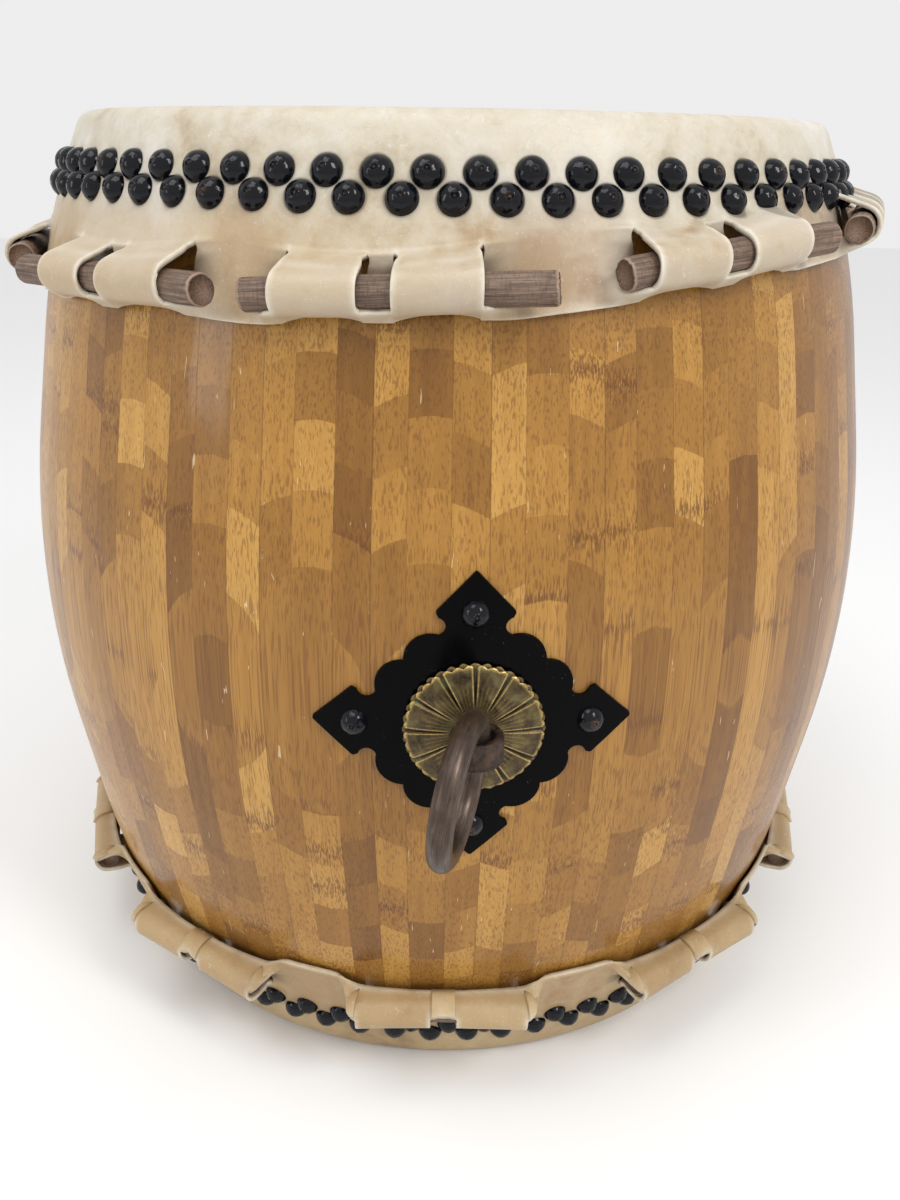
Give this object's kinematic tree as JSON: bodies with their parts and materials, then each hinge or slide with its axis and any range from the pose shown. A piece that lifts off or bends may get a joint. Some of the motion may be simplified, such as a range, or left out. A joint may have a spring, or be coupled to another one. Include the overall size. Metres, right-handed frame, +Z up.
{
  "type": "nagado taiko drum",
  "caption": "Barrel drum of laminated bamboo staves with two tacked and laced hide heads and a swinging iron carrying ring on a plate at each side.",
  "frame": {"origin": "middle of the lower hide's flat face, on which the drum stands", "axes": "+Z up along the drum's axis, -Y towards the front handle"},
  "size_m": [0.5498, 0.7252, 0.546],
  "materials": {
    "bamboo": "clear gloss lacquer over laminated bamboo strips",
    "hide": "dry untanned rawhide, matt with soft sheen",
    "dowel_wood": "bare weathered hardwood",
    "tack_black": "gloss black with worn crowns",
    "plate_black": "smooth gloss black",
    "backing_dark": "blackened sheet",
    "rosette_brass": "darkly tarnished engraved brass sheet",
    "forged_iron": "hammered iron with brown rust",
    "ring_iron": "burnished iron with long scratches"
  },
  "bodies": {
    "root": {"stave_01": "bamboo", "stave_02": "bamboo", "stave_03": "bamboo", "stave_04": "bamboo", "stave_05": "bamboo", "stave_06": "bamboo", "stave_07": "bamboo", "stave_08": "bamboo", "stave_09": "bamboo", "stave_10": "bamboo", "stave_11": "bamboo", "stave_12": "bamboo", "stave_13": "bamboo", "stave_14": "bamboo", "stave_15": "bamboo", "stave_16": "bamboo", "stave_17": "bamboo", "stave_18": "bamboo", "stave_19": "bamboo", "stave_20": "bamboo", "stave_21": "bamboo", "stave_22": "bamboo", "stave_23": "bamboo", "stave_24": "bamboo", "stave_25": "bamboo", "stave_26": "bamboo", "stave_27": "bamboo", "stave_28": "bamboo", "stave_29": "bamboo", "stave_30": "bamboo", "head_top": "hide", "head_bottom": "hide", "dowels_top": "dowel_wood", "dowels_bottom": "dowel_wood", "tacks_top_outer": "tack_black", "tacks_top_inner": "tack_black", "tacks_bottom_outer": "tack_black", "tacks_bottom_inner": "tack_black", "handle_plate_front": "plate_black", "plate_nails_front": "tack_black", "rosette_backing_front": "backing_dark", "rosette_front": "rosette_brass", "eye_pin_front": "forged_iron", "pin_washer_front": "forged_iron", "handle_plate_back": "plate_black", "plate_nails_back": "tack_black", "rosette_backing_back": "backing_dark", "rosette_back": "rosette_brass", "eye_pin_back": "forged_iron", "pin_washer_back": "forged_iron"},
    "ring_front": {"ring_front": "ring_iron"},
    "ring_back": {"ring_back": "ring_iron"}
  },
  "joints": [
    {"name": "ring_front_swing", "type": "hinge", "parent": "root", "child": "ring_front", "pos_m": [0, -0.29615, 0.265], "axis": [0, 0, 1], "range_deg": [-82, 117]},
    {"name": "ring_back_swing", "type": "hinge", "parent": "root", "child": "ring_back", "pos_m": [0, 0.29615, 0.265], "axis": [0, 0, 1], "range_deg": [-82, 117]}
  ]
}
